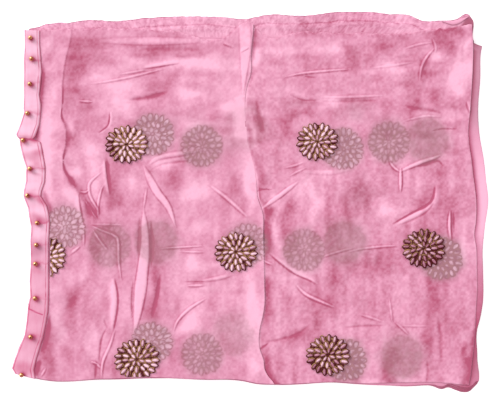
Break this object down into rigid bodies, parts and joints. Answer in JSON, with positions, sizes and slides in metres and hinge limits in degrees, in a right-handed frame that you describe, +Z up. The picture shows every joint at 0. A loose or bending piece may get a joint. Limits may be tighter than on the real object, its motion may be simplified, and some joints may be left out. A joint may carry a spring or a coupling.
{
  "type": "dupatta stole",
  "caption": "Folded dupatta stole of sheer pink georgette with a satin end ribbon, gold beads and embroidered rosettes, lying flat.",
  "frame": {"origin": "middle of the folded stole's footprint, on the surface it lies on", "axes": "+X from the ribboned end to the folded end, +Y from the smooth fold to the selvedges, +Z up out of the cloth"},
  "size_m": [0.5949, 0.4768, 0.0195],
  "materials": {
    "chiffon": "sheer crinkled georgette, soft sheen",
    "chiffon_under": "the same georgette in the layers below",
    "satin_ribbon": "smooth satin with stitched edges",
    "bead_gold": "polished round beads",
    "embroidery": "raised silky petals edged with dull gold and maroon cord"
  },
  "bodies": {
    "root": {"folded_layers": "chiffon_under", "top_panel": "chiffon", "turned_corner": "chiffon", "end_ribbon": "satin_ribbon", "bead_01": "bead_gold", "bead_02": "bead_gold", "bead_03": "bead_gold", "bead_04": "bead_gold", "bead_05": "bead_gold", "bead_06": "bead_gold", "bead_07": "bead_gold", "bead_08": "bead_gold", "bead_09": "bead_gold", "bead_10": "bead_gold", "bead_11": "bead_gold", "bead_12": "bead_gold", "bead_13": "bead_gold", "rosette_01": "embroidery", "rosette_02": "embroidery", "rosette_03": "embroidery", "rosette_04": "embroidery", "rosette_05": "embroidery", "rosette_06": "embroidery", "rosette_07": "embroidery"}
  },
  "joints": []
}
